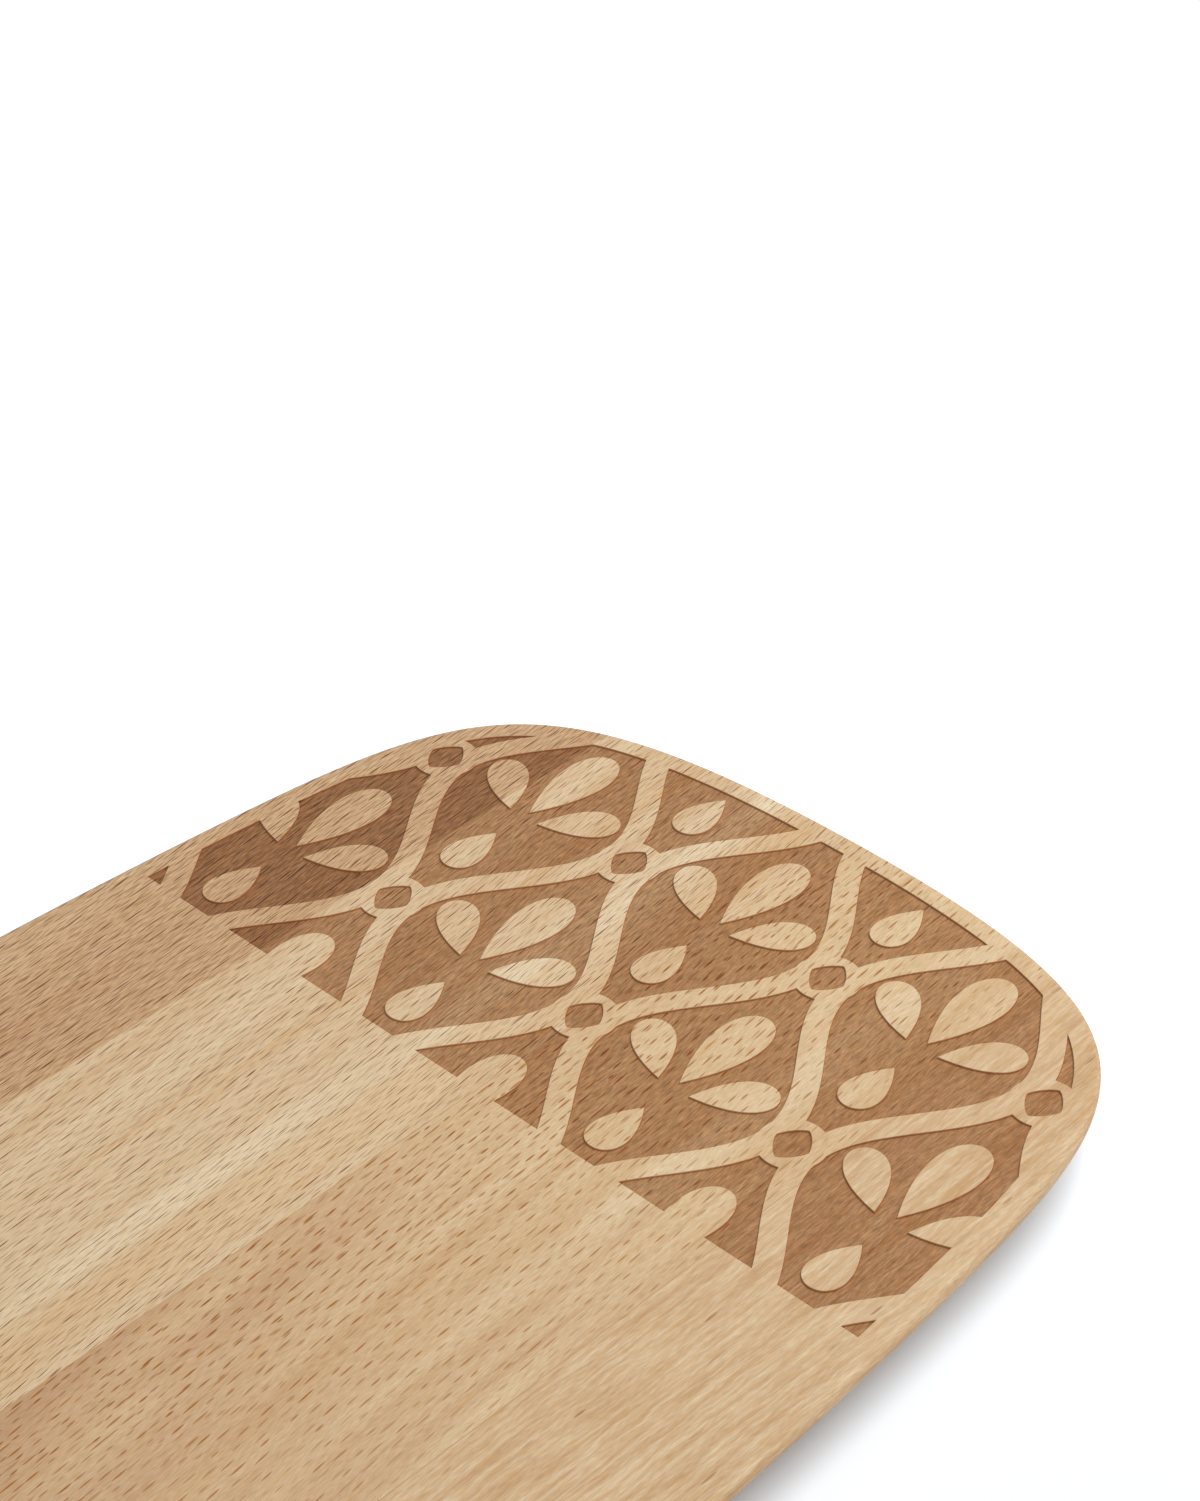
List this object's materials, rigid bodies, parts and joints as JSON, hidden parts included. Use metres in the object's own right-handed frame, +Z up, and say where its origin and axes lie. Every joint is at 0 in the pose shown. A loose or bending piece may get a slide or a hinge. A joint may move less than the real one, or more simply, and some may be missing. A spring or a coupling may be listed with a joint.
{
  "type": "serving board",
  "caption": "Flat rounded serving board of edge-glued hardwood staves with an undercut rim and a shallow milled trellis band across one end.",
  "frame": {"origin": "middle of the flat underside, on the surface that the board lies on", "axes": "+X along the board towards the ornamental end, +Y across it to the left, +Z up through the serving face"},
  "size_m": [0.38, 0.2, 0.016],
  "materials": {
    "left_outer_beech": "oiled steamed beech, pinkish brown with dense short flecks",
    "left_inner_beech": "oiled beech, light straw with pale streaks",
    "right_inner_beech": "oiled beech, pinkish tan with long brown flecks",
    "right_outer_beech": "oiled beech, tan with fine lengthwise lines",
    "wood_glue": "cured wood glue, thin amber line"
  },
  "bodies": {
    "root": {"left_outer_stave": "left_outer_beech", "left_inner_stave": "left_inner_beech", "right_inner_stave": "right_inner_beech", "right_outer_stave": "right_outer_beech", "left_glue_line": "wood_glue", "middle_glue_line": "wood_glue", "right_glue_line": "wood_glue"}
  },
  "joints": []
}
